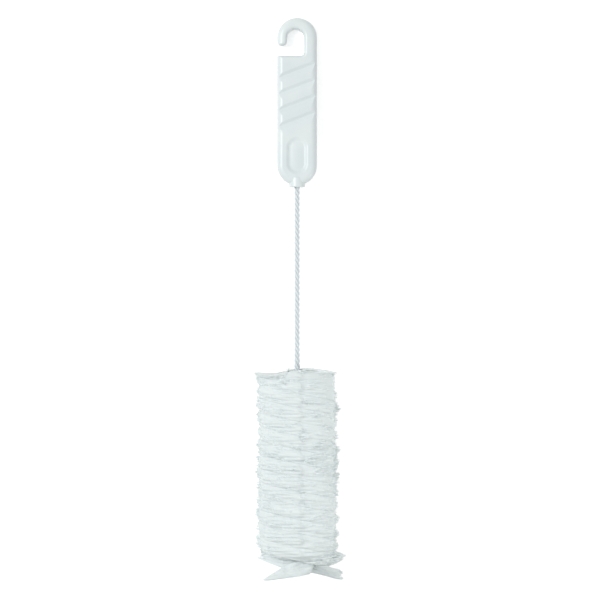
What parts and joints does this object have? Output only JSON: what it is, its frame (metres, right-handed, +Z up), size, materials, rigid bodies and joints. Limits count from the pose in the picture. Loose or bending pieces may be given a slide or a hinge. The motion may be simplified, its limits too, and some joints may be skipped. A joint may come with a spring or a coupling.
{
  "type": "bottle brush",
  "caption": "Bottle brush with a moulded hook handle, a twisted-wire stem and a round head of spiral nylon bristles.",
  "frame": {"origin": "middle of the underside of the bounding box, on the surface the brush lies on", "axes": "+Y along the brush towards the hook, +Z up, +X to the right when the brush is seen from above with its hook away from the viewer"},
  "size_m": [0.0626, 0.4012, 0.0708],
  "materials": {
    "plastic": "glossy",
    "wire": "galvanised",
    "bristle": "loose nylon filaments"
  },
  "bodies": {
    "root": {"handle": "plastic", "wire_left": "wire", "wire_right": "wire", "bristle_turn_01": "bristle", "bristle_turn_02": "bristle", "bristle_turn_03": "bristle", "bristle_turn_04": "bristle", "bristle_turn_05": "bristle", "bristle_turn_06": "bristle", "bristle_turn_07": "bristle", "bristle_turn_08": "bristle", "bristle_turn_09": "bristle", "bristle_turn_10": "bristle", "bristle_turn_11": "bristle", "bristle_turn_12": "bristle", "bristle_turn_13": "bristle", "bristle_turn_14": "bristle", "bristle_end": "bristle"}
  },
  "joints": []
}
